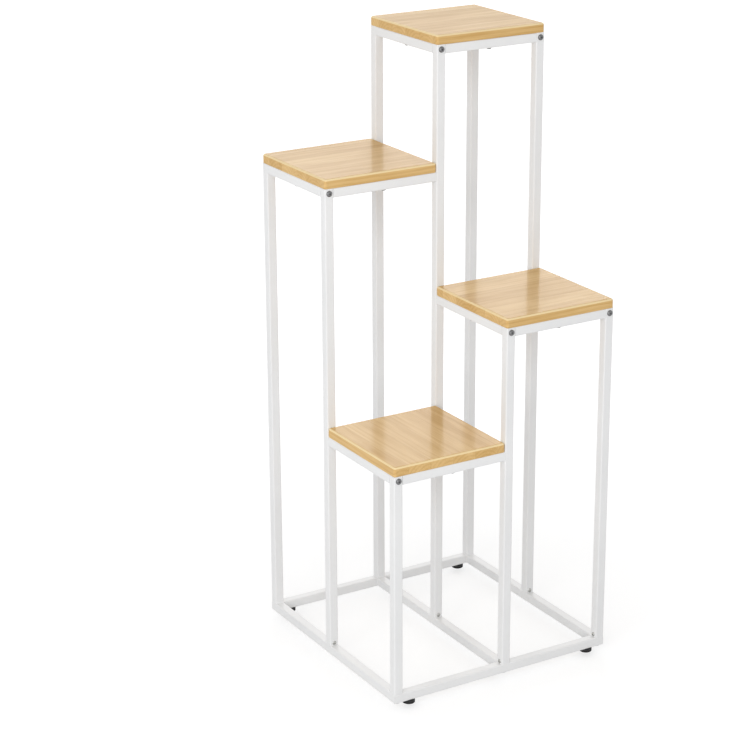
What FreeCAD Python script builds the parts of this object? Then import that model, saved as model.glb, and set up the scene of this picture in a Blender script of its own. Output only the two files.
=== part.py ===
import FreeCAD, Part
import math
import os
from FreeCAD import Placement, Rotation, Vector

# Tiered plant stand: four square wooden boards, each on its own level, on a frame of welded
# and bolted square steel tube. Nine posts stand in a 3 by 3 grid on a flat base frame, and
# four hand-turned levelling feet carry the base frame.
#
# Frame of the model: millimetres, +Z up, origin on the floor under the middle of the square
# footprint. -Y is the front, -X the left side. The feet are screwed fully in.
#
# A post is named by its row and column. Each board fills one quarter of the footprint, so the
# posts of the middle row and column stand just beyond the edge of the boards in front of them
# and to their left, and under the edge of the boards behind them and to their right.

# ---------------------------------------------------------------------------------------
# Driving dimensions
# ---------------------------------------------------------------------------------------

# Boards
board_side = 200.0
board_thickness = 15.0
board_corner_radius = 4.0
board_top_round = 3.5
board_bottom_round = 1.0
board_gap = 0.5  # between a board's edge and the taller post beside it

# Levels, measured to the top face of a board
lowest_board_height = 400.0
level_rise = 200.0

# Square tube, the same for posts and rails
tube_side = 15.0
tube_wall = 1.2
tube_corner_radius = 1.8

# Bolts that join the tubes, with a domed head and a hexagon socket
bolt_diameter = 5.0
bolt_hole_diameter = 5.5
bolt_head_diameter = 9.5
bolt_head_height = 2.75
bolt_head_dome = 2.2
bolt_socket_flats = 3.0
bolt_socket_depth = 1.6
bolt_reach = 9.0  # thread inside the insert

# Threaded inserts, square plugs fixed in the ends of tubes
insert_length = 10.0
insert_gap = 0.1  # to the tube's inner walls
insert_edge_chamfer = 0.8
thread_clearance = 0.05  # radial, between a thread and its nut, bore or wood

# Screws that hold the boards, driven up through the rails
screw_diameter = 4.0
screw_hole_diameter = 4.5
screw_head_diameter = 8.0
screw_head_height = 2.4
screw_head_dome = 1.5
screw_recess_length = 4.2
screw_recess_width = 0.9
screw_recess_depth = 1.4
screw_reach = 10.0  # thread inside the board
screw_point_height = 2.5
pilot_hole_spare = 0.5  # beyond the screw's point

# Tab on the centre post, under the inner corner of the lowest board
tab_thickness = 3.0
tab_reach = 28.0  # from the board's corner along both edges
tab_corner_radius = 3.0

# Levelling feet: a rubber sole that stays still on the floor, and a ribbed knob on a
# threaded stud that turns on it
foot_inset = 30.0  # from the end of the base rail to the foot's axis
foot_diameter = 20.0
sole_thickness = 2.3
sole_edge_round = 0.8
sole_clearance = 0.2  # between the sole and the knob that turns above it
knob_height = 3.3
knob_edge_chamfer = 0.5
knob_rib_count = 24
knob_groove_radius = 0.7
knob_clearance = 0.2  # to the underside of the base frame
stud_diameter = 5.9
stud_tip_gap = 0.8  # to the upper wall of the base rail
stud_tip_chamfer = 0.7
pivot_diameter = 8.0
pivot_height = 0.9
pivot_floor = 0.8  # rubber under the pivot
pivot_clearance = 0.05
neck_clearance = 0.3  # radial, between the stud and the sole's lip
nut_body_diameter = 9.0
nut_body_length = 9.0
nut_flange_diameter = 12.0
nut_flange_thickness = 0.8
nut_recess_clearance = 0.4  # between the nut's flange and the knob

# ---------------------------------------------------------------------------------------
# Places that follow from them
# ---------------------------------------------------------------------------------------

SAME_PLACE = 1e-6  # two measures closer than this are equal

UP = Vector(0, 0, 1)
BACKWARD = Vector(0, 1, 0)
FORWARD = Vector(0, -1, 0)

half_tube = tube_side / 2
tube_inside = tube_side - 2 * tube_wall

# Centre lines of the post columns (X) and rows (Y): left or front, middle, right or back
near_line = half_tube - board_side
middle_line = board_gap + half_tube
far_line = board_side - half_tube
lines = [near_line, middle_line, far_line]

knob_underside = sole_thickness + sole_clearance
base_underside = knob_underside + knob_height + knob_clearance
base_centre_height = base_underside + half_tube
base_top = base_underside + tube_side

# Each board: its name, its column half (0 left, 1 right), its row half (0 front, 1 back)
# and its level, counted from the lowest
boards = [
    ("bottom", 0, 0, 0),
    ("second", 1, 0, 1),
    ("third", 0, 1, 2),
    ("top", 1, 1, 3),
]

column_names = ["left", "middle", "right"]
row_names = ["front", "middle", "back"]


def board_underside(level):
    """Height of a board's lower face, which is also the top of its posts and rails."""
    return lowest_board_height + level * level_rise - board_thickness


def rail_height(level):
    """Height of the centre line of the rails under a board."""
    return board_underside(level) - half_tube


def first_edge(half):
    """Coordinate of the left or front edge of a board in this half of the footprint."""
    return -board_side if half == 0 else 0


def lines_under(half):
    """Indices of the centre lines that run under a board in this half of the footprint."""
    return [0] if half == 0 else [1, 2]


def level_of_post(column, row):
    """Level of the one board that a post stands under."""
    for _, column_half, row_half, level in boards:
        if column in lines_under(column_half) and row in lines_under(row_half):
            return level
    raise ValueError("no board over this post")


# ---------------------------------------------------------------------------------------
# Shapes used many times
# ---------------------------------------------------------------------------------------


def upright_edges(shape):
    """The straight edges of a shape that run along Z."""
    return [edge for edge in shape.Edges if edge.BoundBox.ZLength > edge.Length - SAME_PLACE]


def rounded_bar(side, radius, length):
    """A square bar centred on the Z axis, from the origin up, with its long edges rounded."""
    bar = Part.makeBox(side, side, length, Vector(-side / 2, -side / 2, 0))
    if radius <= 0:
        return bar
    return bar.makeFillet(radius, upright_edges(bar))


def square_tube(length):
    """A length of the square tube, centred on the Z axis, from the origin up."""
    outside = rounded_bar(tube_side, tube_corner_radius, length)
    inside = rounded_bar(tube_inside, tube_corner_radius - tube_wall, length)
    return outside.cut(inside)


def placed(shape, direction, point):
    """A copy of a shape made along +Z, turned to a direction and moved to a point."""
    copy = shape.copy()
    copy.Placement = Placement(point, Rotation(UP, direction))
    return copy


def tube_between(start, end):
    """A tube whose centre line runs from one point to another along an axis."""
    run = end - start
    return placed(square_tube(run.Length), run, start)


def drilled(shape, diameter, start, direction, length):
    """A shape with a round hole drilled into it from a point."""
    return shape.cut(Part.makeCylinder(diameter / 2, length, start, direction))


def rounded_head(diameter, height, dome):
    """A screw head below the origin, with its lower outer edge rounded."""
    head = Part.makeCylinder(diameter / 2, height, Vector(0, 0, -height))
    rim = [edge for edge in head.Edges if edge.Closed and edge.BoundBox.ZMax < SAME_PLACE - height]
    return head.makeFillet(dome, rim)


def hexagon_prism(flats, height, base_height):
    """A six-sided prism centred on the Z axis."""
    sides = 6
    corner = Vector(flats / 2 / math.cos(math.pi / sides), 0, base_height)
    corners = [Rotation(UP, 360 * step / sides).multVec(corner) for step in range(sides + 1)]
    return Part.Face(Part.makePolygon(corners)).extrude(UP * height)


def bolt(grip):
    """A bolt along +Z whose head bears at the origin and whose thread goes past the grip."""
    head = rounded_head(bolt_head_diameter, bolt_head_height, bolt_head_dome)
    shank = Part.makeCylinder(bolt_diameter / 2, grip + bolt_reach)
    socket = hexagon_prism(bolt_socket_flats, bolt_socket_depth, -bolt_head_height)
    return head.fuse(shank).cut(socket).removeSplitter()


def wood_screw(grip):
    """A pan-head screw along +Z whose head bears at the origin, with a point and a cross recess."""
    head = rounded_head(screw_head_diameter, screw_head_height, screw_head_dome)
    shank_length = grip + screw_reach - screw_point_height
    shank = Part.makeCylinder(screw_diameter / 2, shank_length)
    point = Part.makeCone(screw_diameter / 2, 0, screw_point_height, Vector(0, 0, shank_length))
    screw = head.fuse(shank).fuse(point)
    for length, width in (
        (screw_recess_length, screw_recess_width),
        (screw_recess_width, screw_recess_length),
    ):
        corner = Vector(-length / 2, -width / 2, -screw_head_height)
        screw = screw.cut(Part.makeBox(length, width, screw_recess_depth, corner))
    return screw.removeSplitter()


def end_insert():
    """A square plug with a threaded bore, flush with the end of a tube that runs up from the origin."""
    side = tube_inside - 2 * insert_gap
    plug = rounded_bar(side, 0, insert_length)
    plug = plug.makeChamfer(insert_edge_chamfer, upright_edges(plug))
    return drilled(plug, bolt_diameter + 2 * thread_clearance, Vector(0, 0, 0), UP, insert_length)


# ---------------------------------------------------------------------------------------
# Frame
# ---------------------------------------------------------------------------------------


def front_to_back_rails():
    """Every bolted rail: its name, column, front post row and height."""
    rails = []
    for name, column_half, row_half, level in boards:
        sides = ["left"] if column_half == 0 else ["left", "right"]
        for side, column in zip(sides, lines_under(column_half)):
            rails.append((f"{name}_shelf_{side}_rail", column, row_half, rail_height(level)))
    return rails


def left_to_right_rails():
    """Every welded shelf rail: its name, row, left post column and height."""
    rails = []
    for name, column_half, row_half, level in boards:
        sides = ["front"] if row_half == 0 else ["front", "back"]
        for side, row in zip(sides, lines_under(row_half)):
            rails.append((f"{name}_shelf_{side}_rail", row, column_half, rail_height(level)))
    return rails


def with_screw_hole(rail, middle):
    """A rail with an upright hole through both walls for the screw that holds its board."""
    start = middle - UP * half_tube
    return drilled(rail, screw_hole_diameter, start, UP, tube_side)


def make_posts():
    """Nine posts, from the base frame up to the underside of a board."""
    posts = {}
    for column in range(3):
        for row in range(3):
            foot = Vector(lines[column], lines[row], base_top)
            top = Vector(lines[column], lines[row], board_underside(level_of_post(column, row)))
            post = tube_between(foot, top)
            for _, rail_column, front_row, height in front_to_back_rails():
                if column == rail_column and row in (front_row, front_row + 1):
                    start = Vector(lines[column], lines[row] - half_tube, height)
                    post = drilled(post, bolt_hole_diameter, start, BACKWARD, tube_side)
            name = "post_centre" if column == row == 1 else f"post_{row_names[row]}_{column_names[column]}"
            posts[name] = post
    return posts


def make_shelf_rails():
    """Twelve rails, one under each edge of a board that has posts under it."""
    rails = {}
    for name, row, left_column, height in left_to_right_rails():
        start = Vector(lines[left_column] + half_tube, lines[row], height)
        end = Vector(lines[left_column + 1] - half_tube, lines[row], height)
        rails[name] = with_screw_hole(tube_between(start, end), (start + end) / 2)
    for name, column, front_row, height in front_to_back_rails():
        start = Vector(lines[column], lines[front_row] + half_tube, height)
        end = Vector(lines[column], lines[front_row + 1] - half_tube, height)
        rails[name] = with_screw_hole(tube_between(start, end), (start + end) / 2)
    return rails


def foot_places():
    """Name and axis of each levelling foot, under the front and back rails of the base."""
    places = []
    for row_name, row_line in (("front", near_line), ("back", far_line)):
        for column_name, direction in (("left", -1), ("right", 1)):
            x = direction * (board_side - foot_inset)
            places.append((f"{row_name}_{column_name}", Vector(x, row_line, 0)))
    return places


def base_bolt_holes():
    """One upright cylinder through the base frame under each post."""
    holes = []
    for x in lines:
        for y in lines:
            start = Vector(x, y, base_underside)
            holes.append(Part.makeCylinder(bolt_hole_diameter / 2, tube_side, start, UP))
    return holes


def nut_holes():
    """One hole in the lower wall of the base frame for the nut of each foot."""
    holes = []
    for _, axis in foot_places():
        start = axis + UP * base_underside
        holes.append(Part.makeCylinder(nut_body_diameter / 2, tube_wall, start, UP))
    return holes


def mitred_front_rail():
    """The front tube of the base frame, with both ends cut at 45 degrees."""
    start = Vector(-board_side, near_line, base_centre_height)
    end = Vector(board_side, near_line, base_centre_height)
    inner_half = board_side - tube_side
    outline = [
        Vector(-board_side, -board_side, base_underside),
        Vector(board_side, -board_side, base_underside),
        Vector(inner_half, -inner_half, base_underside),
        Vector(-inner_half, -inner_half, base_underside),
        Vector(-board_side, -board_side, base_underside),
    ]
    kept = Part.Face(Part.makePolygon(outline)).extrude(UP * tube_side)
    return tube_between(start, end).common(kept)


def make_base_rails():
    """Four tubes mitred into a square, and one across the middle between front and back."""
    rails = {}
    for quarter, side in enumerate(("front", "right", "back", "left")):
        rail = mitred_front_rail()
        rail.rotate(Vector(0, 0, 0), UP, 90 * quarter)
        rails[f"base_{side}_rail"] = rail
    start = Vector(middle_line, near_line + half_tube, base_centre_height)
    end = Vector(middle_line, far_line - half_tube, base_centre_height)
    rails["base_middle_rail"] = tube_between(start, end)
    for name in rails:
        rails[name] = rails[name].cut(base_bolt_holes()).cut(nut_holes())
    return rails


def make_tab():
    """A steel plate welded round the front left corner of the centre post, under the lowest board."""
    underside = board_underside(0) - tab_thickness
    side = tab_reach + board_gap + tube_side
    plate = Part.makeBox(side, side, tab_thickness, Vector(-tab_reach, -tab_reach, underside))
    plate = plate.makeFillet(tab_corner_radius, upright_edges(plate))
    post_corner = Vector(board_gap, board_gap, underside)
    plate = plate.cut(Part.makeBox(tube_side, tube_side, tab_thickness, post_corner))
    return drilled(plate, screw_hole_diameter, tab_screw_seat(), UP, tab_thickness)


def make_boards():
    """Four equal boards with rounded edges and pilot holes for their screws."""
    solids = {}
    for name, column_half, row_half, level in boards:
        corner = Vector(first_edge(column_half), first_edge(row_half), board_underside(level))
        board = Part.makeBox(board_side, board_side, board_thickness, corner)
        board = board.makeFillet(board_corner_radius, upright_edges(board))
        top_height = corner.z + board_thickness
        top_edges = [edge for edge in board.Edges if edge.BoundBox.ZMin > top_height - SAME_PLACE]
        board = board.makeFillet(board_top_round, top_edges)
        bottom_edges = [edge for edge in board.Edges if edge.BoundBox.ZMax < corner.z + SAME_PLACE]
        solids[f"{name}_shelf_board"] = board.makeFillet(board_bottom_round, bottom_edges)
    return solids


# ---------------------------------------------------------------------------------------
# Fasteners
# ---------------------------------------------------------------------------------------


def shelf_rail_middles():
    """Board name and middle point of every shelf rail."""
    middles = []
    for name, row, left_column, height in left_to_right_rails():
        x = (lines[left_column] + lines[left_column + 1]) / 2
        middles.append((name.split("_")[0], Vector(x, lines[row], height)))
    for name, column, front_row, height in front_to_back_rails():
        y = (lines[front_row] + lines[front_row + 1]) / 2
        middles.append((name.split("_")[0], Vector(lines[column], y, height)))
    return middles


def tab_screw_seat():
    """Where the head of the tab's screw bears, under the middle of the part below the board."""
    return Vector(-tab_reach / 2, -tab_reach / 2, board_underside(0) - tab_thickness)


def make_board_screws():
    """One screw up through the middle of each shelf rail into its board."""
    screw = wood_screw(tube_side)
    return [placed(screw, UP, middle - UP * half_tube) for _, middle in shelf_rail_middles()]


def drill_boards(solids):
    """Pilot holes in the boards, one over each rail and one over the tab."""
    depth = screw_reach + pilot_hole_spare
    diameter = screw_diameter + 2 * thread_clearance
    lowest_name = boards[0][0]
    places = [(name, middle + UP * half_tube) for name, middle in shelf_rail_middles()]
    places.append((lowest_name, tab_screw_seat() + UP * tab_thickness))
    for name, place in places:
        key = f"{name}_shelf_board"
        solids[key] = drilled(solids[key], diameter, place, UP, depth)


def make_rail_bolts():
    """A bolt through the post at each end of each front-to-back rail, and the insert it meets."""
    rail_bolt = bolt(tube_side)
    insert = end_insert()
    bolts = []
    inserts = []
    for _, column, front_row, height in front_to_back_rails():
        front_post = Vector(lines[column], lines[front_row], height)
        back_post = Vector(lines[column], lines[front_row + 1], height)
        bolts.append(placed(rail_bolt, BACKWARD, front_post + FORWARD * half_tube))
        bolts.append(placed(rail_bolt, FORWARD, back_post + BACKWARD * half_tube))
        inserts.append(placed(insert, BACKWARD, front_post + BACKWARD * half_tube))
        inserts.append(placed(insert, FORWARD, back_post + FORWARD * half_tube))
    return bolts, inserts


def make_base_bolts():
    """A bolt up through the base frame into the foot of each post, and the insert it meets."""
    base_bolt = bolt(tube_side)
    insert = end_insert()
    bolts = []
    inserts = []
    for x in lines:
        for y in lines:
            bolts.append(placed(base_bolt, UP, Vector(x, y, base_underside)))
            inserts.append(placed(insert, UP, Vector(x, y, base_top)))
    return bolts, inserts


# ---------------------------------------------------------------------------------------
# Levelling feet, made round the Z axis and then moved under the base frame
# ---------------------------------------------------------------------------------------


def foot_sole():
    """A rubber disc with a socket that holds the pivot under the stud."""
    sole = Part.makeCylinder(foot_diameter / 2, sole_thickness)
    lower_rim = [edge for edge in sole.Edges if edge.Closed and edge.BoundBox.ZMax < SAME_PLACE]
    sole = sole.makeFillet(sole_edge_round, lower_rim)
    lip_underside = pivot_floor + pivot_height + pivot_clearance
    cavity_diameter = pivot_diameter + 2 * pivot_clearance
    cavity_height = lip_underside - pivot_floor
    sole = drilled(sole, cavity_diameter, UP * pivot_floor, UP, cavity_height)
    return drilled(sole, stud_diameter + 2 * neck_clearance, UP * lip_underside, UP, sole_thickness)


def foot_knob():
    """A ribbed disc fixed on the stud, with a recess over its top for the nut's flange."""
    knob = Part.makeCylinder(foot_diameter / 2, knob_height, UP * knob_underside)
    rims = [edge for edge in knob.Edges if edge.Closed and edge.BoundBox.ZLength < SAME_PLACE]
    knob = knob.makeChamfer(knob_edge_chamfer, rims)
    for rib in range(knob_rib_count):
        angle = 2 * math.pi * rib / knob_rib_count
        x = foot_diameter / 2 * math.cos(angle)
        y = foot_diameter / 2 * math.sin(angle)
        knob = drilled(knob, 2 * knob_groove_radius, Vector(x, y, knob_underside), UP, knob_height)
    recess_floor = base_underside - nut_flange_thickness - nut_recess_clearance
    recess_diameter = nut_flange_diameter + 2 * nut_recess_clearance
    knob = drilled(knob, recess_diameter, UP * recess_floor, UP, knob_height)
    bore_diameter = stud_diameter + 2 * thread_clearance
    return drilled(knob, bore_diameter, UP * knob_underside, UP, knob_height)


def foot_stud():
    """A threaded stud with a round pivot at its foot."""
    tip_height = base_top - tube_wall - stud_tip_gap
    pivot = Part.makeCylinder(pivot_diameter / 2, pivot_height, UP * pivot_floor)
    stud = Part.makeCylinder(stud_diameter / 2, tip_height - pivot_floor, UP * pivot_floor)
    tip_edge = [edge for edge in stud.Edges if edge.Closed and edge.BoundBox.ZMin > tip_height - SAME_PLACE]
    return stud.makeChamfer(stud_tip_chamfer, tip_edge).fuse(pivot).removeSplitter()


def foot_nut():
    """A flanged nut set in the lower wall of the base rail."""
    body = Part.makeCylinder(nut_body_diameter / 2, nut_body_length, UP * base_underside)
    flange_underside = UP * (base_underside - nut_flange_thickness)
    flange = Part.makeCylinder(nut_flange_diameter / 2, nut_flange_thickness, flange_underside)
    bore_diameter = stud_diameter + 2 * thread_clearance
    nut_length = nut_flange_thickness + nut_body_length
    return drilled(body.fuse(flange), bore_diameter, flange_underside, UP, nut_length).removeSplitter()


def make_feet():
    """Sole, knob and stud of each foot as nodes of their own, and the four nuts."""
    solids = {}
    nuts = []
    for name, axis in foot_places():
        solids[f"foot_sole_{name}"] = placed(foot_sole(), UP, axis)
        solids[f"foot_knob_{name}"] = placed(foot_knob(), UP, axis)
        solids[f"foot_stud_{name}"] = placed(foot_stud(), UP, axis)
        nuts.append(placed(foot_nut(), UP, axis))
    return solids, nuts


# ---------------------------------------------------------------------------------------
# Assembly: one file for each node, a group of equal fasteners being one node
# ---------------------------------------------------------------------------------------


def all_nodes():
    """Every node of the stand with its solids in place."""
    nodes = {}
    nodes.update(make_posts())
    nodes.update(make_shelf_rails())
    nodes.update(make_base_rails())
    board_solids = make_boards()
    drill_boards(board_solids)
    nodes.update(board_solids)
    rail_bolts, rail_inserts = make_rail_bolts()
    base_bolts, post_inserts = make_base_bolts()
    foot_solids, foot_nuts = make_feet()
    nodes.update(foot_solids)
    nodes["bottom_shelf_corner_tab"] = make_tab()
    nodes["corner_tab_screw"] = placed(wood_screw(tab_thickness), UP, tab_screw_seat())
    groups = {
        "board_screws": make_board_screws(),
        "rail_bolts": rail_bolts,
        "rail_inserts": rail_inserts,
        "base_bolts": base_bolts,
        "post_inserts": post_inserts,
        "foot_nuts": foot_nuts,
    }
    for name, solids in groups.items():
        nodes[name] = Part.makeCompound(solids)
    return nodes


os.makedirs("parts", exist_ok=True)
for node_name, shape in all_nodes().items():
    shape.exportStep(f"parts/{node_name}.step")
    print(f"{node_name}: {len(shape.Solids)} solid(s), {shape.Volume / 1000:.2f} cm3, valid {shape.isValid()}")
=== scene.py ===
# %% [markdown]
# # A tiered plant stand
#
# The stand is four wooden boards on a frame of square steel tube, on four small levelling
# feet. FreeCAD already holds every solid at its true size, so this lesson is mostly about
# finishes: lacquered wood, powder coat, plated steel, nylon and rubber. It also turns the
# studs of the feet from plain pins into real threads, adds nine small screws, and ends with
# the studio and the camera.
#
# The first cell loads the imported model. Every piece lies where the drawing has it, in metres,
# with the origin at the bottom of the feet, under the middle of the stand.

# %% Load the frame
import math

import bpy
import numpy as np
from mathutils import Matrix, Vector


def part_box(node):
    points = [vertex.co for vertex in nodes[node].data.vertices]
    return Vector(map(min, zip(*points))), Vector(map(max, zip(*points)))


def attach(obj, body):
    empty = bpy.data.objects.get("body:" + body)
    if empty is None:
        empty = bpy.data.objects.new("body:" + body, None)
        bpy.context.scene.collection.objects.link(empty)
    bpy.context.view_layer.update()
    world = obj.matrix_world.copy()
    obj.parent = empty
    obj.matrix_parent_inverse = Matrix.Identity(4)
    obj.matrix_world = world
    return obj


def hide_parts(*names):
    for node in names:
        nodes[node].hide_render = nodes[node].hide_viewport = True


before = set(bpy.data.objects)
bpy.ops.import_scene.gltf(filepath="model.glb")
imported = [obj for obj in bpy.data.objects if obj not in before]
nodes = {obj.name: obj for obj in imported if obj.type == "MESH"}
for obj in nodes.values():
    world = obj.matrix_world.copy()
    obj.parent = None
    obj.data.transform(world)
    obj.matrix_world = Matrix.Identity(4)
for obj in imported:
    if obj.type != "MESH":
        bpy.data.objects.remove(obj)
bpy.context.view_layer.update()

# %% [markdown]
# ## Shader maths as Python
#
# A material is a network of small nodes. Placing and joining them one by one hides the idea
# behind the bookkeeping, so two short classes do it here. `Wire` stands for a socket, and
# `wire * 2 + 1` adds the two Math nodes that work it out.

# %% Wires


class Wire:
    """An output socket that Python can calculate with."""

    def __init__(self, graph, socket):
        self.graph = graph
        self.socket = socket

    def do(self, operation, *others):
        """One Math node of this operation, on this wire and the others."""
        return self.graph.math(operation, self, *others)

    def __add__(self, other):
        return self.graph.math("ADD", self, other)

    def __sub__(self, other):
        return self.graph.math("SUBTRACT", self, other)

    def __rsub__(self, other):
        return self.graph.math("SUBTRACT", other, self)

    def __mul__(self, other):
        return self.graph.math("MULTIPLY", self, other)

    def __truediv__(self, other):
        return self.graph.math("DIVIDE", self, other)

    __radd__ = __add__
    __rmul__ = __mul__

    def smooth(self, low, high):
        """0 below low, 1 above high, and a smooth step between them."""
        settings = {"interpolation_type": "SMOOTHSTEP"}
        values = {"Value": self, "From Min": low, "From Max": high}
        return self.graph.add("ShaderNodeMapRange", settings, values)


print("a Wire adds one Math node for each sign")

# %% [markdown]
# `Graph` stands for the whole network. Its `add` makes any node. The settings come first,
# because they decide which sockets the node has.

# %% Graphs


class Graph:
    """The node tree of a material or of the world."""

    def __init__(self, owner):
        owner.use_nodes = True
        self.owner = owner
        self.tree = owner.node_tree

    def add(self, kind, settings=None, inputs=None, output=0):
        """A node of this kind: first its settings, then its sockets by name or number."""
        node = self.tree.nodes.new(kind)
        for key, value in (settings or {}).items():
            setattr(node, key, value)
        for key, value in (inputs or {}).items():
            self.feed(node.inputs[key], value)
        return Wire(self, node.outputs[output])

    def feed(self, socket, value):
        """Links a wire to a socket, or sets the socket to a plain value."""
        if isinstance(value, Wire):
            self.tree.links.new(value.socket, socket)
        else:
            socket.default_value = value

    def math(self, operation, *values):
        """A Math node of this operation on the values, in their order."""
        return self.add("ShaderNodeMath", {"operation": operation}, dict(enumerate(values)))

    def finish(self, **sockets):
        """Fills the Principled shader's sockets; an underscore stands for a space."""
        shader = self.tree.nodes["Principled BSDF"]
        for name, value in sockets.items():
            self.feed(shader.inputs[name.replace("_", " ")], value)
        return self.owner

    def place(self):
        """The x, y and z of a point in the stand's own frame, as three wires."""
        point = self.add("ShaderNodeTexCoord", output="Object")
        return [self.add("ShaderNodeSeparateXYZ", None, {0: point}, axis) for axis in "XYZ"]

    def point(self, x, y, z):
        """A vector made of three values or wires."""
        return self.add("ShaderNodeCombineXYZ", None, {"X": x, "Y": y, "Z": z})

    def noise(self, point, scale=1.0, detail=2.0, roughness=0.5):
        """Smooth noise between 0 and 1 at a point."""
        values = {"Vector": point, "Scale": scale, "Detail": detail, "Roughness": roughness}
        return self.add("ShaderNodeTexNoise", None, values, "Fac")

    def random(self, number):
        """A random value between 0 and 1 for each whole number."""
        settings = {"noise_dimensions": "1D"}
        return self.add("ShaderNodeTexWhiteNoise", settings, {"W": number}, "Value")

    def blend(self, amount, first, second):
        """A colour that goes from the first to the second as the amount goes from 0 to 1."""
        factor, colour_a, colour_b, colour_result = 0, 6, 7, 2
        values = {factor: amount, colour_a: first, colour_b: second}
        return self.add("ShaderNodeMix", {"data_type": "RGBA"}, values, colour_result)

    def bump(self, height, distance):
        """A normal that makes the surface look raised by the height times the distance."""
        return self.add("ShaderNodeBump", None, {"Height": height, "Distance": distance}, "Normal")


print("a Graph makes every other node")

# %% [markdown]
# Each finish below is a new material, and the pieces that wear it get it in all their slots.

# %% A new finish, and the pieces that wear it


def new_finish(name):
    """The graph of a new material."""
    return Graph(bpy.data.materials.new(name))


def dress(material, *names):
    """Gives pieces of the drawing this material in all their slots."""
    for name in names:
        for slot in nodes[name].material_slots:
            slot.material = material
    print(f"{material.name}: {len(names)} pieces")


print(f"{sum(len(piece.material_slots) for piece in nodes.values())} slots to fill")

# %% [markdown]
# ## The grain of wood
#
# Each board is glued up from strips of pale hardwood. Wood is best painted as a solid: the
# pattern is a function of the point in space, so the grain runs over the rounded edge and
# turns into end grain on the two short sides by itself.
#
# Growth rings are distances from a heart that lies below the strip, so they run as long lines
# on top and as arcs on the ends. Everything else is noise that is stretched along the grain.
# A pair of waves says how many of them fit in a metre along the grain, and across it.

# %% Noise along the grain and growth rings
RING_SPACING = 0.006
RING_WANDER = 2.4
WANDER_WAVES = (5, 14)


def noise_along_grain(graph, place, waves, detail=2.0, roughness=0.5):
    """Noise at a place (along, across, z), stretched along the grain by a pair of waves."""
    along, across, z = place
    lengthwise, crosswise = waves
    point = graph.point(along * lengthwise, across * crosswise, z * crosswise)
    return graph.noise(point, detail=detail, roughness=roughness)


def growth_rings(graph, place, sideways, upward):
    """1 in the dark late wood of a ring, 0 in its pale early wood.

    The rings are sin(tau * (radius / spacing + wander * noise)), where the radius is the
    distance from the heart, sideways and upward.
    """
    wander = noise_along_grain(graph, place, WANDER_WAVES)
    radius = (sideways * sideways + upward * upward).do("SQRT")
    rings = ((radius / RING_SPACING + wander * RING_WANDER) * math.tau).do("SINE")
    return (rings * 0.5 + 0.5).smooth(0.3, 1.0)


print(f"growth rings {RING_SPACING * 1000:g} mm apart")

# %% [markdown]
# ## Lacquered boards
#
# Five things make the pattern look like wood. Each strip has its own tone, its own heart and
# its own stretch of the grain. The rings darken it, and so do clouds that drift through it.
# Fibres are noise stretched far along the grain, and pores are a finer noise that is cut off,
# so that only its peaks stay. A thin glue line parts the strips.
#
# The rounded upper edge is painted paler in its colour: a painted highlight that stands for the
# bright line along the near edges. The boards are sealed with a clear satin lacquer, the coat of
# the shader: smooth over the rough wood, it mirrors the posts that stand behind a board.

# %% The wood of one board
STRIP_WIDTH = 0.04
STRIP_SHIFT = 0.37
STRIP_JUMP = 5
GLUE_LINE = 0.012
HEART_DEPTH = 0.03
HEART_SPREAD = 0.9
CLOUD_WAVES = (9, 45)
FIBRE_WAVES = (11, 620)
PORE_WAVES = (70, 1500)
RING_SHARE = 0.22
FIBRE_SHARE = 0.3
TONE_SHARE = 0.34
CLOUD_SHARE = 0.3
PORE_SHARE = 0.45
GLUE_SHARE = 0.3
EDGE_HIGHLIGHT_SHARE = 0.85
FIBRE_HEIGHT = 0.00004
PORE_DEPTH = 0.6
PALE_WOOD = (0.83, 0.575, 0.26, 1)
DEEP_WOOD = (0.59, 0.345, 0.105, 1)
PORE_BROWN = (0.34, 0.185, 0.06, 1)
# The colour of a painted highlight on the rounded upper edge.
PAINTED_EDGE_HIGHLIGHT = (0.96, 0.78, 0.46, 1)


def upper_rounding(graph):
    """1 on the rounded upper edge, 0 on the flat top and on the upright sides.

    The z of the surface's normal is 0 on a side and 1 on top, and what lies between is round.
    """
    normal = graph.add("ShaderNodeNewGeometry", output="Normal")
    upness = graph.add("ShaderNodeSeparateXYZ", None, {0: normal}, "Z")
    return upness.smooth(0.1, 0.5) * (1 - upness.smooth(0.86, 0.99))


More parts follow.
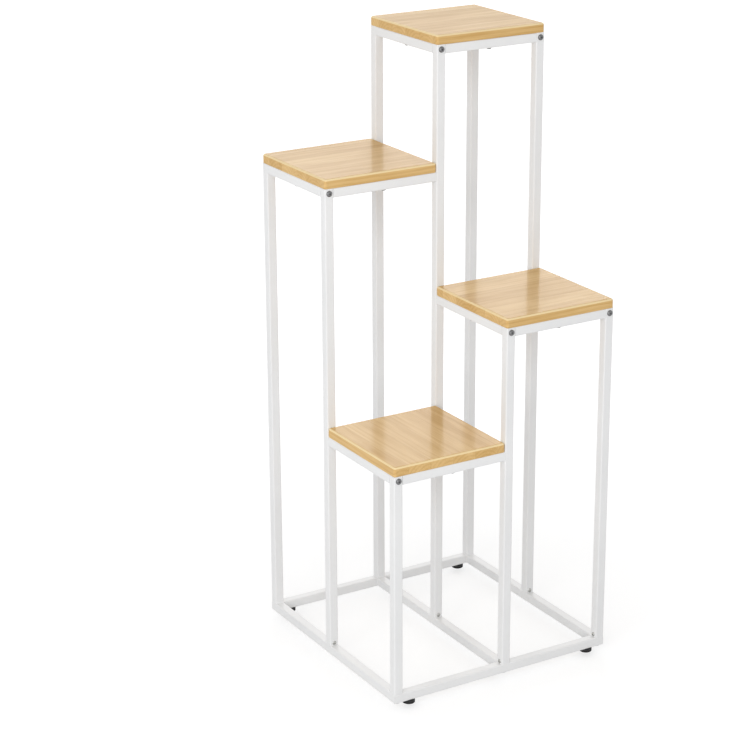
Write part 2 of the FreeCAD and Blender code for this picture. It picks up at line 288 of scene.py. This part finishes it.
def board_finish(level, grain, seed):
    """Lacquered wood with its grain along X or Y. The seed makes each board another tree."""
    graph = new_finish(f"{level} board wood")
    heart_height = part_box(f"{level}_shelf_board")[1].z - HEART_DEPTH
    x, y, z = graph.place()
    along, across = (x, y) if grain == "X" else (y, x)

    strip = across / STRIP_WIDTH + seed * STRIP_SHIFT
    number = strip.do("FLOOR")
    from_middle = strip - number - 0.5
    tone = graph.random(number + seed)
    place = (along + tone * STRIP_JUMP, across, z)

    sideways = (from_middle + (tone - 0.5) * HEART_SPREAD) * STRIP_WIDTH
    late_wood = growth_rings(graph, place, sideways, z - heart_height)
    fibre = noise_along_grain(graph, place, FIBRE_WAVES, detail=4, roughness=0.6)
    streaks = fibre.smooth(0.32, 0.7)
    clouds = noise_along_grain(graph, place, CLOUD_WAVES, detail=3).smooth(0.3, 0.7)
    pores = noise_along_grain(graph, place, PORE_WAVES).smooth(0.66, 0.76)
    glue = from_middle.do("ABSOLUTE").smooth(0.5 - GLUE_LINE, 0.5)

    deep = late_wood * RING_SHARE + streaks * FIBRE_SHARE + tone * TONE_SHARE + clouds * CLOUD_SHARE
    wood = graph.blend(deep, PALE_WOOD, DEEP_WOOD)
    wood = graph.blend(pores * PORE_SHARE + glue * GLUE_SHARE, wood, PORE_BROWN)
    # Painted highlight: the rounded upper edge is lightened in its colour, standing for the light
    # it catches.
    wood = graph.blend(upper_rounding(graph) * EDGE_HIGHLIGHT_SHARE, wood, PAINTED_EDGE_HIGHLIGHT)
    return graph.finish(
        Base_Color=wood,
        Roughness=0.46 + fibre * 0.12,
        Specular_IOR_Level=0.15,
        Normal=graph.bump(fibre - pores * PORE_DEPTH, FIBRE_HEIGHT),
        Coat_Weight=0.2,
        Coat_Roughness=0.15,
        Coat_IOR=1.5,
    )


print(f"strips {STRIP_WIDTH * 1000:g} mm wide")

# %% Dress the four boards
GRAIN_AND_SEED = {"bottom": ("Y", 1), "second": ("X", 4), "third": ("X", 7), "top": ("X", 10)}
for level, (grain, seed) in GRAIN_AND_SEED.items():
    dress(board_finish(level, grain, seed), f"{level}_shelf_board")

# %% [markdown]
# ## Powder coat
#
# The tubes are sprayed with dry paint that is baked until it flows. It never flows quite
# flat: under a lamp the surface shows the small soft dimples of an orange's peel. A bump of
# about a millimetre's wavelength gives them, and a much wider noise keeps a long tube from
# being one dead tone. The tab under the lowest board is sprayed together with the tubes, and
# so are the bolts under the base frame, which don't show as dark dots in the photograph.

# %% Paint on the tubes, the tab and the bolts under the base
PAINT_LIGHT = (0.872, 0.874, 0.876, 1)
PAINT_SHADE = (0.834, 0.837, 0.84, 1)
DIMPLES_PER_METRE = 900
DIMPLE_HEIGHT = 0.00006
DRIFTS_PER_METRE = 7


def powder_coat():
    """Off-white paint: two close tones, dimples one millimetre across, satin gloss."""
    graph = new_finish("powder coat")
    point = graph.point(*graph.place())
    dimples = graph.noise(point, scale=DIMPLES_PER_METRE, detail=1)
    drift = graph.noise(point, scale=DRIFTS_PER_METRE, detail=3)
    return graph.finish(
        Base_Color=graph.blend(drift.smooth(0.3, 0.7), PAINT_LIGHT, PAINT_SHADE),
        Roughness=0.34 + dimples * 0.14,
        Normal=graph.bump(dimples, DIMPLE_HEIGHT),
    )


posts = [name for name in nodes if name.startswith("post_") and name != "post_inserts"]
rails = [name for name in nodes if name.endswith("_rail")]
dress(powder_coat(), *posts, *rails, "bottom_shelf_corner_tab", "base_bolts")

# %% [markdown]
# ## Metal
#
# Bolts, screws, nuts and threaded plugs are steel under a thin plating. Turned and rolled
# steel is never a perfect mirror: fine scratches spread its shine. One function makes all of
# them, and only the tone and the roughness differ.

# %% Plated steel
NICKEL = (0.2, 0.2, 0.203, 1)
SCREW_ZINC = (0.26, 0.26, 0.26, 1)
PLUG_ZINC = (0.42, 0.42, 0.41, 1)
STUD_ZINC = (0.56, 0.56, 0.54, 1)
BLOTCHES_PER_METRE = 420
BLOTCH_TONE = 0.78
SCRATCH_WAVES = (300, 4000)
SCRATCH_HEIGHT = 0.00001


def plated_steel(name, tone, roughness):
    """Metal of one tone, with small blotches in its shine and level scratches round it."""
    graph = new_finish(name)
    x, y, z = graph.place()
    blotches = graph.noise(graph.point(x, y, z), scale=BLOTCHES_PER_METRE, detail=3)
    level, upright = SCRATCH_WAVES
    scratches = graph.noise(graph.point(x * level, y * level, z * upright), detail=2)
    dull = tuple(BLOTCH_TONE * part for part in tone[:3]) + (1,)
    return graph.finish(
        Base_Color=graph.blend(blotches.smooth(0.35, 0.75), tone, dull),
        Metallic=1.0,
        Roughness=roughness + scratches * 0.14 + blotches * 0.06,
        Normal=graph.bump(scratches, SCRATCH_HEIGHT),
    )


dress(plated_steel("nickel plating", NICKEL, 0.26), "rail_bolts")
dress(plated_steel("screw zinc", SCREW_ZINC, 0.3), "board_screws", "corner_tab_screw")
dress(plated_steel("plug zinc", PLUG_ZINC, 0.34), "rail_inserts", "post_inserts")
stud_zinc = plated_steel("stud zinc", STUD_ZINC, 0.24)
dress(stud_zinc, "foot_nuts")

# %% [markdown]
# ## Rubber and nylon
#
# A foot is black all over, but it is two materials. The knob is moulded nylon, with a faint
# sheen and the fine grain of its mould. The sole is rubber: duller, with a trace of pale dust
# in its pores. The difference shows only in how they catch light.

# %% The black parts of the feet
CORNERS = ["front_left", "front_right", "back_left", "back_right"]
NYLON = (0.012, 0.012, 0.013, 1)
WORN_NYLON = (0.02, 0.02, 0.021, 1)
NYLON_GRAINS_PER_METRE = 2600
RUBBER = (0.01, 0.01, 0.0105, 1)
DUSTY_RUBBER = (0.03, 0.029, 0.028, 1)
RUBBER_GRAINS_PER_METRE = 1800
PATCHES_PER_METRE = 120
MOULD_GRAIN_HEIGHT = 0.00005


def moulded(name, tone, pale_tone, grains_per_metre, roughness):
    """A dark moulding with a fine grain, paler in patches, where it is worn or dusty."""
    graph = new_finish(name)
    point = graph.point(*graph.place())
    mould = graph.noise(point, scale=grains_per_metre, detail=3)
    patches = graph.noise(point, scale=PATCHES_PER_METRE, detail=3)
    return graph.finish(
        Base_Color=graph.blend(patches.smooth(0.5, 0.8), tone, pale_tone),
        Roughness=roughness + mould * 0.12,
        Normal=graph.bump(mould, MOULD_GRAIN_HEIGHT),
    )


nylon = moulded("black nylon", NYLON, WORN_NYLON, NYLON_GRAINS_PER_METRE, 0.38)
rubber = moulded("black rubber", RUBBER, DUSTY_RUBBER, RUBBER_GRAINS_PER_METRE, 0.68)
dress(nylon, *[f"foot_knob_{corner}" for corner in CORNERS])
dress(rubber, *[f"foot_sole_{corner}" for corner in CORNERS])

# %% [markdown]
# ## A surface made of rings
#
# Screws are round bodies, and one function serves them all. It lays rings of points round the
# z axis and joins each to the next. A ring needn't be a circle, because each of its points has
# its own radius.

# %% Rings to a closed mesh
SHARP_ANGLE = math.radians(35)


def surface_of_rings(heights, radii, low_pole, high_pole):
    """Vertices and faces of a closed body round the z axis.

    A point is (r cos a, r sin a, z), where a runs along the columns of the radii, and each
    row of them has its own height z. One pole closes each end.
    """
    rows, steps = radii.shape
    angle = np.linspace(0, math.tau, steps, endpoint=False)
    z = np.broadcast_to(heights[:, None], radii.shape)
    rings = np.stack([radii * np.cos(angle), radii * np.sin(angle), z], -1)
    vertices = np.vstack([rings.reshape(-1, 3), [[0, 0, low_pole], [0, 0, high_pole]]])
    here = np.arange(steps)
    after = (here + 1) % steps
    base = steps * np.arange(rows - 1)[:, None]
    walls = np.stack([base + here, base + after, base + steps + after, base + steps + here], -1)
    last, low, high = steps * (rows - 1), rows * steps, rows * steps + 1
    floor = np.stack([np.full(steps, low), after, here], -1)
    roof = np.stack([np.full(steps, high), last + here, last + after], -1)
    return vertices, walls.reshape(-1, 4).tolist() + floor.tolist() + roof.tolist()


def new_piece(name, vertices, faces, material):
    """An object at the origin, smooth but for its sharp edges."""
    mesh = bpy.data.meshes.new(name)
    mesh.from_pydata(vertices.tolist(), [], faces)
    mesh.shade_smooth()
    mesh.set_sharp_from_angle(angle=SHARP_ANGLE)
    mesh.materials.append(material)
    piece = bpy.data.objects.new(name, mesh)
    bpy.context.scene.collection.objects.link(piece)
    return piece


print(f"edges sharper than {math.degrees(SHARP_ANGLE):.0f} degrees stay sharp")

# %% [markdown]
# ## Threads on the studs
#
# The drawing has each stud as a plain pin, which is right for collisions. As soon as a foot
# is screwed out, its thread shows. A thread is one surface: a profile that is turned round an
# axis, whose radius falls and rises once for each pitch, and whose phase climbs with the
# angle. That climb is the whole difference between a screw and a stack of rings.

# %% The radius along a thread
PITCH = 0.001
THREAD_DEPTH = 0.0006
THREAD_FLATNESS = 1.4
RUN_OUT = 0.0008
STEPS_ROUND = 40
STEPS_PER_PITCH = 8


def thread_radii(heights, start, stop, outer):
    """The radius at each height z and angle a: the outer radius less the depth of a groove.

    The groove is a triangle wave of z / pitch - a / tau, cut flat at its top and bottom. It
    fades in and out over the run-out at both ends of the thread.
    """
    turn = np.linspace(0, 1, STEPS_ROUND, endpoint=False)
    phase = (heights[:, None] / PITCH - turn) % 1.0
    wave = 1 - np.abs(2 * phase - 1)
    groove = np.clip((wave - 0.5) * THREAD_FLATNESS + 0.5, 0, 1)
    fade_in = np.clip((heights - start) / RUN_OUT, 0, 1)
    fade_out = np.clip((stop - heights) / RUN_OUT, 0, 1)
    return outer - THREAD_DEPTH * groove * (fade_in * fade_out)[:, None]


print(f"pitch {PITCH * 1000:g} mm, {STEPS_PER_PITCH} rings for each turn")

# %% Four threaded studs with their round pivots
PIVOT_HEIGHT = 0.0009
PIVOT_CHAMFER = 0.0001
TIP_CHAMFER = 0.0007
STUD_RADIUS = 0.00295


def threaded_stud(corner):
    """A pivot disc and a stud over it, on the axis of this corner's foot."""
    low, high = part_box(f"foot_stud_{corner}")
    pivot_radius = (high.x - low.x) / 2
    shoulder = low.z + PIVOT_HEIGHT
    disc_heights = np.array([low.z, low.z + PIVOT_CHAMFER, shoulder])
    disc_radii = np.array([pivot_radius - PIVOT_CHAMFER, pivot_radius, pivot_radius])

    steps = int((high.z - shoulder) / PITCH * STEPS_PER_PITCH)
    heights = np.linspace(shoulder, high.z, steps)
    outer = np.minimum(STUD_RADIUS, STUD_RADIUS - TIP_CHAMFER + (high.z - heights))
    radii = thread_radii(heights, shoulder, high.z - TIP_CHAMFER, outer[:, None])

    all_heights = np.concatenate([disc_heights, heights])
    all_radii = np.vstack([np.repeat(disc_radii[:, None], STEPS_ROUND, 1), radii])
    vertices, faces = surface_of_rings(all_heights, all_radii, low.z, high.z)
    vertices += [(low.x + high.x) / 2, (low.y + high.y) / 2, 0]
    piece = new_piece(f"thread_{corner}", vertices, faces, stud_zinc)
    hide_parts(f"foot_stud_{corner}")
    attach(piece, f"screw_{corner}")
    return len(faces)


print("faces in each stud:", [threaded_stud(corner) for corner in CORNERS])

# %% [markdown]
# ## Small screws at the feet of the posts
#
# In the photograph two posts of the front row have a small grey dot on their left side, right
# above the base frame, and the posts of the middle row a smudge on their front side. They are
# taken for screws that lock each post on the plug in its foot, so every post gets one. The
# front left post and the back row show none, so there they are on sides that can't be seen.
#
# A button head is a surface of rings too. Its dome is a part of an ellipse. The rings of the
# socket are hexagons, so the walls of the socket come from the same grid as the dome.

# %% The shape of a button head
HEAD_RADIUS = 0.0035
HEAD_HEIGHT = 0.0017
HEAD_RIM = 0.0004
HEAD_STEPS = 48
DOME_ROWS = 8
DOME_END = math.radians(62)
SOCKET_REACH = 0.001
SOCKET_DEPTH = 0.0011


def button_head():
    """Vertices and faces of a head that stands on the origin, along the z axis.

    On the dome r = radius cos t and z = rim + (height - rim) sin t, with t from 0 to the end
    of the dome. In the socket r = reach / cos d, where d is the angle from the middle of the
    nearest side of the hexagon.
    """
    angle = np.linspace(0, math.tau, HEAD_STEPS, endpoint=False)
    sixth = math.tau / 6
    hexagon = SOCKET_REACH / np.cos((angle + sixth / 2) % sixth - sixth / 2)
    t = np.linspace(0, DOME_END, DOME_ROWS)
    dome_radii = np.repeat(HEAD_RADIUS * np.cos(t)[:, None], HEAD_STEPS, 1)
    dome_heights = HEAD_RIM + (HEAD_HEIGHT - HEAD_RIM) * np.sin(t)
    socket_floor = HEAD_HEIGHT - SOCKET_DEPTH
    heights = np.concatenate([[0], dome_heights, [dome_heights[-1], socket_floor]])
    radii = np.vstack([dome_radii[:1], dome_radii, hexagon, hexagon])
    return surface_of_rings(heights, radii, 0, socket_floor)


print(f"faces in a head: {len(button_head()[1])}")

# %% A button head for each post
HEAD_RISE = 0.0039
HEAD_BITE = 0.0001


def screw_side(post):
    """The direction in which the head on this post looks."""
    if post == "post_front_left":
        return np.array([1, 0, 0])
    if "front" in post:
        return np.array([-1, 0, 0])
    return np.array([0, 1, 0] if "back" in post else [0, -1, 0])


def lock_screw(post):
    """A head on one side of a post: its x, y and z axes turn to sideways, up and outward."""
    low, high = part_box(post)
    outward, up = screw_side(post), np.array([0, 0, 1])
    vertices, faces = button_head()
    turned = vertices @ np.array([np.cross(up, outward), up, outward])
    on_axis = np.array([(low.x + high.x) / 2, (low.y + high.y) / 2, low.z + HEAD_RISE])
    place = on_axis + outward * ((high.x - low.x) / 2 - HEAD_BITE)
    piece = new_piece(post.replace("post", "lock_screw"), turned + place, faces, stud_zinc)
    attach(piece, "frame")
    return piece.name


print([lock_screw(post) for post in posts])

# %% [markdown]
# ## The studio
#
# The photograph is a cut-out on pure white with next to no shadow. A floor that is simply
# very bright would wash out the stand, so the floor does two jobs. To the camera and in
# reflections it adds a plain glow that lifts it to white, and its own diffuse part keeps the
# soft contact shadow. Seen from below it isn't there, so that the feet can be looked at.
#
# The floor lies a little deeper than the feet can be screwed out, so that none sinks into it.

# %% Floor
FLOOR_SIZE = 14.0
FLOOR_DROP = 0.0083
SCATTERING_PAPER = (0.75, 0.75, 0.75, 1)
SEEN_PAPER = (0.5, 0.5, 0.5, 1)
GLOW_NEAR = 0.6
GLOW_GAIN = 0.2
GLOW_REACH = (0.2, 1.3)


def seen_directly(graph):
    """1 for what is seen directly, in a mirror or through glass, 0 for scattered light."""
    camera = graph.add("ShaderNodeLightPath", output="Is Camera Ray")
    glossy = graph.add("ShaderNodeLightPath", output="Is Glossy Ray")
    clear = graph.add("ShaderNodeLightPath", output="Is Transmission Ray")
    return camera.do("MAXIMUM", glossy).do("MAXIMUM", clear)


def studio_floor():
    """Paper that glows where it is seen, only scatters light elsewhere, and is clear from below.

    The glow grows with the distance from the stand, where the lamps reach less far.
    """
    graph = new_finish("studio paper")
    seen = seen_directly(graph)
    paper = graph.blend(seen, SCATTERING_PAPER, SEEN_PAPER)
    shaded = graph.add("ShaderNodeBsdfDiffuse", None, {"Color": paper})
    x, y, _ = graph.place()
    far = (x * x + y * y).do("SQRT").smooth(*GLOW_REACH)
    strength = seen * (far * GLOW_GAIN + GLOW_NEAR)
    glow = graph.add("ShaderNodeEmission", None, {"Strength": strength})
    lit = graph.add("ShaderNodeAddShader", None, {0: shaded, 1: glow})
    below = graph.add("ShaderNodeNewGeometry", output="Backfacing")
    through = graph.add("ShaderNodeBsdfTransparent")
    both = graph.add("ShaderNodeMixShader", None, {0: below, 1: lit, 2: through})
    graph.feed(graph.tree.nodes["Material Output"].inputs["Surface"], both)
    return graph.owner


half = FLOOR_SIZE / 2
floor_corners = [(-half, -half), (half, -half), (half, half), (-half, half)]
floor_mesh = bpy.data.meshes.new("studio_floor")
floor_mesh.from_pydata([(x, y, -FLOOR_DROP) for x, y in floor_corners], [], [(0, 1, 2, 3)])
floor_mesh.materials.append(studio_floor())
studio = bpy.data.objects.new("studio_floor", floor_mesh)
bpy.context.scene.collection.objects.link(studio)
print(f"floor {FLOOR_SIZE:g} m wide, {FLOOR_DROP * 1000:g} mm under the feet")

# %% The white surroundings
WORLD_LIGHT = 0.64

world = bpy.data.worlds.new("white studio")
sky = Graph(world)
background = sky.tree.nodes["Background"]
sky.feed(background.inputs["Strength"], seen_directly(sky) * (1 - WORLD_LIGHT) + WORLD_LIGHT)
sky.feed(background.inputs["Color"], (1, 1, 1, 1))
bpy.context.scene.world = world
print(f"surroundings shine at {WORLD_LIGHT} and look white")

# %% [markdown]
# ## Two lamps
#
# A soft key light from above and in front gives the two visible sides almost the same tone,
# as in the photograph. Behind the stand a low softbox faces the camera. It hardly lights the
# frame, but the boards lie almost edge-on to the camera, and at such an angle lacquer acts as
# a mirror. The softbox puts a sheen on them, and each post that stands before it is missing
# from that sheen: these are the darker bands across the boards.

# %% Key light and softbox
KEY_PLACE = (-2.1, -1.95, 1.45)
KEY_AIM = (0, 0, 0.7)
KEY_SIZE = 2.0
KEY_LEVEL = 0.46
SOFTBOX_PLACE = (4.2, 7.0, 3.9)
SOFTBOX_AIM = (0, 0, 0.5)
SOFTBOX_SIZE = (3.2, 2.2)
SOFTBOX_RADIANCE = 4.0


def add_lamp(name, place, aim):
    """An area lamp at a place, hidden from the camera, that shines towards its aim."""
    lamp = bpy.data.objects.new(name, bpy.data.lights.new(name, "AREA"))
    lamp.location = place
    lamp.rotation_euler = (Vector(aim) - Vector(place)).to_track_quat("-Z", "Y").to_euler()
    lamp.visible_camera = False
    bpy.context.scene.collection.objects.link(lamp)
    return lamp


# A white sheet at the aim, square to the key light, would look as bright as the key level.
key = add_lamp("key light", KEY_PLACE, KEY_AIM)
key.data.size = KEY_SIZE
key.data.energy = KEY_LEVEL * math.pi**2 * (Vector(KEY_AIM) - Vector(KEY_PLACE)).length_squared

softbox = add_lamp("softbox", SOFTBOX_PLACE, SOFTBOX_AIM)
softbox.data.shape = "RECTANGLE"
softbox.data.size, softbox.data.size_y = SOFTBOX_SIZE
softbox.data.energy = SOFTBOX_RADIANCE * math.pi * math.prod(SOFTBOX_SIZE)
print(f"key light {key.data.energy:.1f} W, softbox {softbox.data.energy:.1f} W")

# %% [markdown]
# ## The camera
#
# The corners of the boards and of the base were matched to the photograph. The upright edges
# there are almost parallel, although the boards are seen from above. That is the mark of a
# shifted lens. A large shift would push the stand out of the frame in every other view, so
# this camera has a small one and looks down a little more steeply instead.

# %% Camera
IMAGE_SIZE = 736
FOCAL_PIXELS = 2200
CENTRE_ROW = 342
SENSOR_WIDTH = 36
CAMERA_PLACE = (-1.7888, -2.8072, 1.6305)
AZIMUTH = math.radians(-30.641)
ELEVATION = math.radians(18.654)
ROLL = math.radians(-0.332)

camera_data = bpy.data.cameras.new("camera")
camera_data.sensor_width = SENSOR_WIDTH
camera_data.lens = FOCAL_PIXELS / IMAGE_SIZE * SENSOR_WIDTH
camera_data.shift_y = (CENTRE_ROW - IMAGE_SIZE / 2) / IMAGE_SIZE

flat = math.cos(ELEVATION)
back = Vector((math.sin(AZIMUTH) * flat, -math.cos(AZIMUTH) * flat, math.sin(ELEVATION)))
right =Vector((math.cos(AZIMUTH), math.sin(AZIMUTH), 0))
above = back.cross(right)
axes = Matrix((
    right * math.cos(ROLL) + above * math.sin(ROLL),
    above * math.cos(ROLL) - right * math.sin(ROLL),
    back,
)).transposed()
camera = bpy.data.objects.new("camera", camera_data)
camera.matrix_world = Matrix.Translation(CAMERA_PLACE) @ axes.to_4x4()
bpy.context.scene.collection.objects.link(camera)
bpy.context.scene.camera = camera
bpy.context.scene.view_settings.view_transform = "Standard"
print(f"lens {camera_data.lens:.1f} mm, shift {camera_data.shift_y:.4f}")
